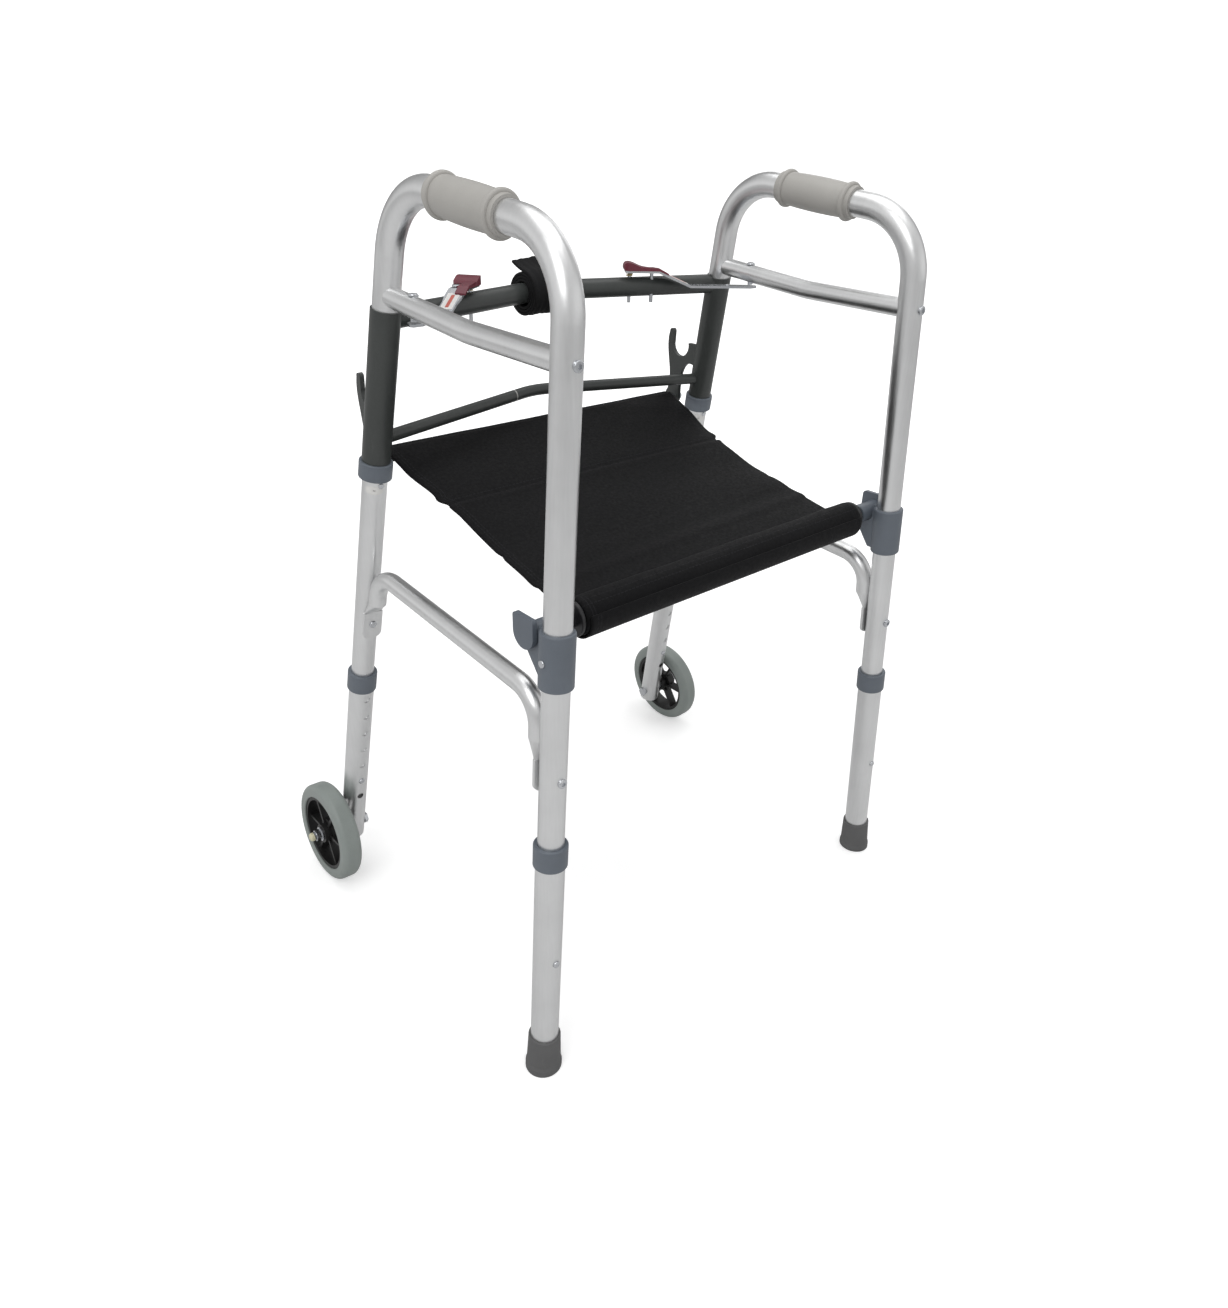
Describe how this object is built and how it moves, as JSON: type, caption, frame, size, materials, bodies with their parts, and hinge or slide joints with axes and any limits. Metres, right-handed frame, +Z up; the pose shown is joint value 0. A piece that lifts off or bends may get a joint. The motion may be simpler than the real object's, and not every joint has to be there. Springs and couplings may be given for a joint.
{
  "type": "walking frame",
  "caption": "Folding walking frame with front wheels, rubber rear tips, height-adjustable legs, moulded grips and a fabric sling seat on a lift-out rear bar.",
  "frame": {"origin": "on the floor, under the middle of the bounding box", "axes": "+Z up, +Y towards the wheels and crossbar (the way the person walks), +X to the person's right"},
  "size_m": [0.6534, 0.4934, 0.8266],
  "materials": {
    "aluminium_tube": "satin anodised",
    "painted_frame": "semi-gloss dark grey",
    "grip_plastic": "satin",
    "collar_plastic": "satin blue-grey",
    "cap_plastic": "satin blue-grey",
    "rubber_tip": "matte",
    "tyre_rubber": "satin grey-green",
    "hub_plastic": "satin",
    "zinc_steel": "zinc plated",
    "brass_bits": "plain",
    "paddle_plastic": "glossy",
    "sling_fabric": "woven",
    "wrap_foam": "matte",
    "ring_plastic": "satin",
    "dark_bar": "semi-gloss"
  },
  "bodies": {
    "front_frame": {"top_crossbar": "painted_frame", "lower_brace_bar": "painted_frame", "seat_front_rod": "zinc_steel", "rod_nuts": "zinc_steel", "crossbar_wrap": "wrap_foam", "seat_sling": "sling_fabric", "latch_bolts": "zinc_steel", "latch_springs": "brass_bits", "sleeve_right": "painted_frame", "sleeve_collar_right": "collar_plastic", "hook_plate_right": "painted_frame", "sleeve_left": "painted_frame", "sleeve_collar_left": "collar_plastic", "hook_plate_left": "painted_frame"},
    "left_side": {"side_tube_left": "aluminium_tube", "grip_left": "grip_plastic", "upper_brace_left": "aluminium_tube", "lower_brace_left": "aluminium_tube", "side_screws_left": "zinc_steel", "latch_pin_left": "zinc_steel", "seat_cradle_left": "collar_plastic"},
    "right_side": {"side_tube_right": "aluminium_tube", "grip_right": "grip_plastic", "upper_brace_right": "aluminium_tube", "lower_brace_right": "aluminium_tube", "side_screws_right": "zinc_steel", "latch_pin_right": "zinc_steel", "seat_cradle_right": "collar_plastic"},
    "seat_bar": {"seat_rear_bar": "dark_bar", "seat_roll": "sling_fabric", "seat_bar_rings": "ring_plastic", "seat_bar_caps": "cap_plastic"},
    "left_rear_leg": {"rear_extension_left": "aluminium_tube", "rear_collar_left": "collar_plastic", "rear_tip_left": "rubber_tip"},
    "left_rear_button": {"rear_button_left": "zinc_steel"},
    "left_front_leg": {"front_extension_left": "aluminium_tube", "front_collar_left": "collar_plastic", "axle_bolt_left": "zinc_steel", "axle_nut_left": "zinc_steel"},
    "left_front_button": {"front_button_left": "zinc_steel"},
    "left_wheel": {"wheel_hub_left": "hub_plastic", "tyre_left": "tyre_rubber"},
    "left_latch": {"latch_plate_left": "zinc_steel", "latch_paddle_left": "paddle_plastic", "latch_rivet_left": "zinc_steel"},
    "right_rear_leg": {"rear_extension_right": "aluminium_tube", "rear_collar_right": "collar_plastic", "rear_tip_right": "rubber_tip"},
    "right_rear_button": {"rear_button_right": "zinc_steel"},
    "right_front_leg": {"front_extension_right": "aluminium_tube", "front_collar_right": "collar_plastic", "axle_bolt_right": "zinc_steel", "axle_nut_right": "zinc_steel"},
    "right_front_button": {"front_button_right": "zinc_steel"},
    "right_wheel": {"wheel_hub_right": "hub_plastic", "tyre_right": "tyre_rubber"},
    "right_latch": {"latch_plate_right": "zinc_steel", "latch_paddle_right": "paddle_plastic", "latch_rivet_right": "zinc_steel"}
  },
  "joints": [
    {"name": "left_side_fold", "type": "hinge", "parent": "front_frame", "child": "left_side", "pos_m": [-0.22686, 0.06925, 0.63844], "axis": [0.0684, -0.1933, 0.9788], "range_deg": [0, 70]},
    {"name": "right_side_fold", "type": "hinge", "parent": "front_frame", "child": "right_side", "pos_m": [0.22686, 0.06925, 0.63844], "axis": [0.0684, 0.1933, -0.9788], "range_deg": [0, 42]},
    {"name": "seat_bar_stow", "type": "hinge", "parent": "front_frame", "child": "seat_bar", "pos_m": [0, -0.06517, 0.474], "axis": [-1, 0, 0], "range_deg": [0, 170.67], "deforming": ["seat_sling"]},
    {"name": "left_rear_leg_length", "type": "slide", "parent": "left_side", "child": "left_rear_leg", "axis": [-0.0697, -0.029, -0.9971], "range_m": [-0.0254, 0.127]},
    {"name": "left_rear_button_press", "type": "slide", "parent": "left_rear_leg", "child": "left_rear_button", "axis": [-0.002, 0.9996, -0.0289], "range_m": [0, 0.003], "stiffness_N_per_m": 400, "springref_m": -0.001},
    {"name": "left_front_leg_length", "type": "slide", "parent": "left_side", "child": "left_front_leg", "axis": [-0.0684, 0.1933, -0.9788], "range_m": [-0.0254, 0.127]},
    {"name": "left_front_button_press", "type": "slide", "parent": "left_front_leg", "child": "left_front_button", "axis": [0.0135, 0.9811, 0.1928], "range_m": [0, 0.003], "stiffness_N_per_m": 400, "springref_m": -0.001},
    {"name": "left_wheel_spin", "type": "hinge", "parent": "left_front_leg", "child": "left_wheel", "pos_m": [-0.29812, 0.18317, 0.06375], "axis": [-0.9976, 0, 0.0698], "continuous": true},
    {"name": "left_latch_press", "type": "hinge", "parent": "front_frame", "child": "left_latch", "pos_m": [-0.113, 0.08533, 0.7174], "axis": [0.5904, -0.8071, 0], "range_deg": [0, 3], "stiffness_Nm_per_rad": 2, "springref_deg": -4.58},
    {"name": "right_rear_leg_length", "type": "slide", "parent": "right_side", "child": "right_rear_leg", "axis": [0.0697, -0.029, -0.9971], "range_m": [-0.0254, 0.127]},
    {"name": "right_rear_button_press", "type": "slide", "parent": "right_rear_leg", "child": "right_rear_button", "axis": [0.002, 0.9996, -0.0289], "range_m": [0, 0.003], "stiffness_N_per_m": 400, "springref_m": -0.001},
    {"name": "right_front_leg_length", "type": "slide", "parent": "right_side", "child": "right_front_leg", "axis": [0.0684, 0.1933, -0.9788], "range_m": [-0.0254, 0.127]},
    {"name": "right_front_button_press", "type": "slide", "parent": "right_front_leg", "child": "right_front_button", "axis": [-0.0135, 0.9811, 0.1928], "range_m": [0, 0.003], "stiffness_N_per_m": 400, "springref_m": -0.001},
    {"name": "right_wheel_spin", "type": "hinge", "parent": "right_front_leg", "child": "right_wheel", "pos_m": [0.29812, 0.18317, 0.06375], "axis": [0.9976, 0, 0.0698], "continuous": true},
    {"name": "right_latch_press", "type": "hinge", "parent": "front_frame", "child": "right_latch", "pos_m": [0.113, 0.08533, 0.7174], "axis": [0.5904, 0.8071, 0], "range_deg": [0, 3], "stiffness_Nm_per_rad": 2, "springref_deg": -4.58}
  ],
  "couplings": [
    {"joint": "right_side_fold", "follows": "left_side_fold", "ratio": 0.6},
    {"joint": "seat_bar_stow", "follows": "left_side_fold", "ratio": 2.4381}
  ]
}
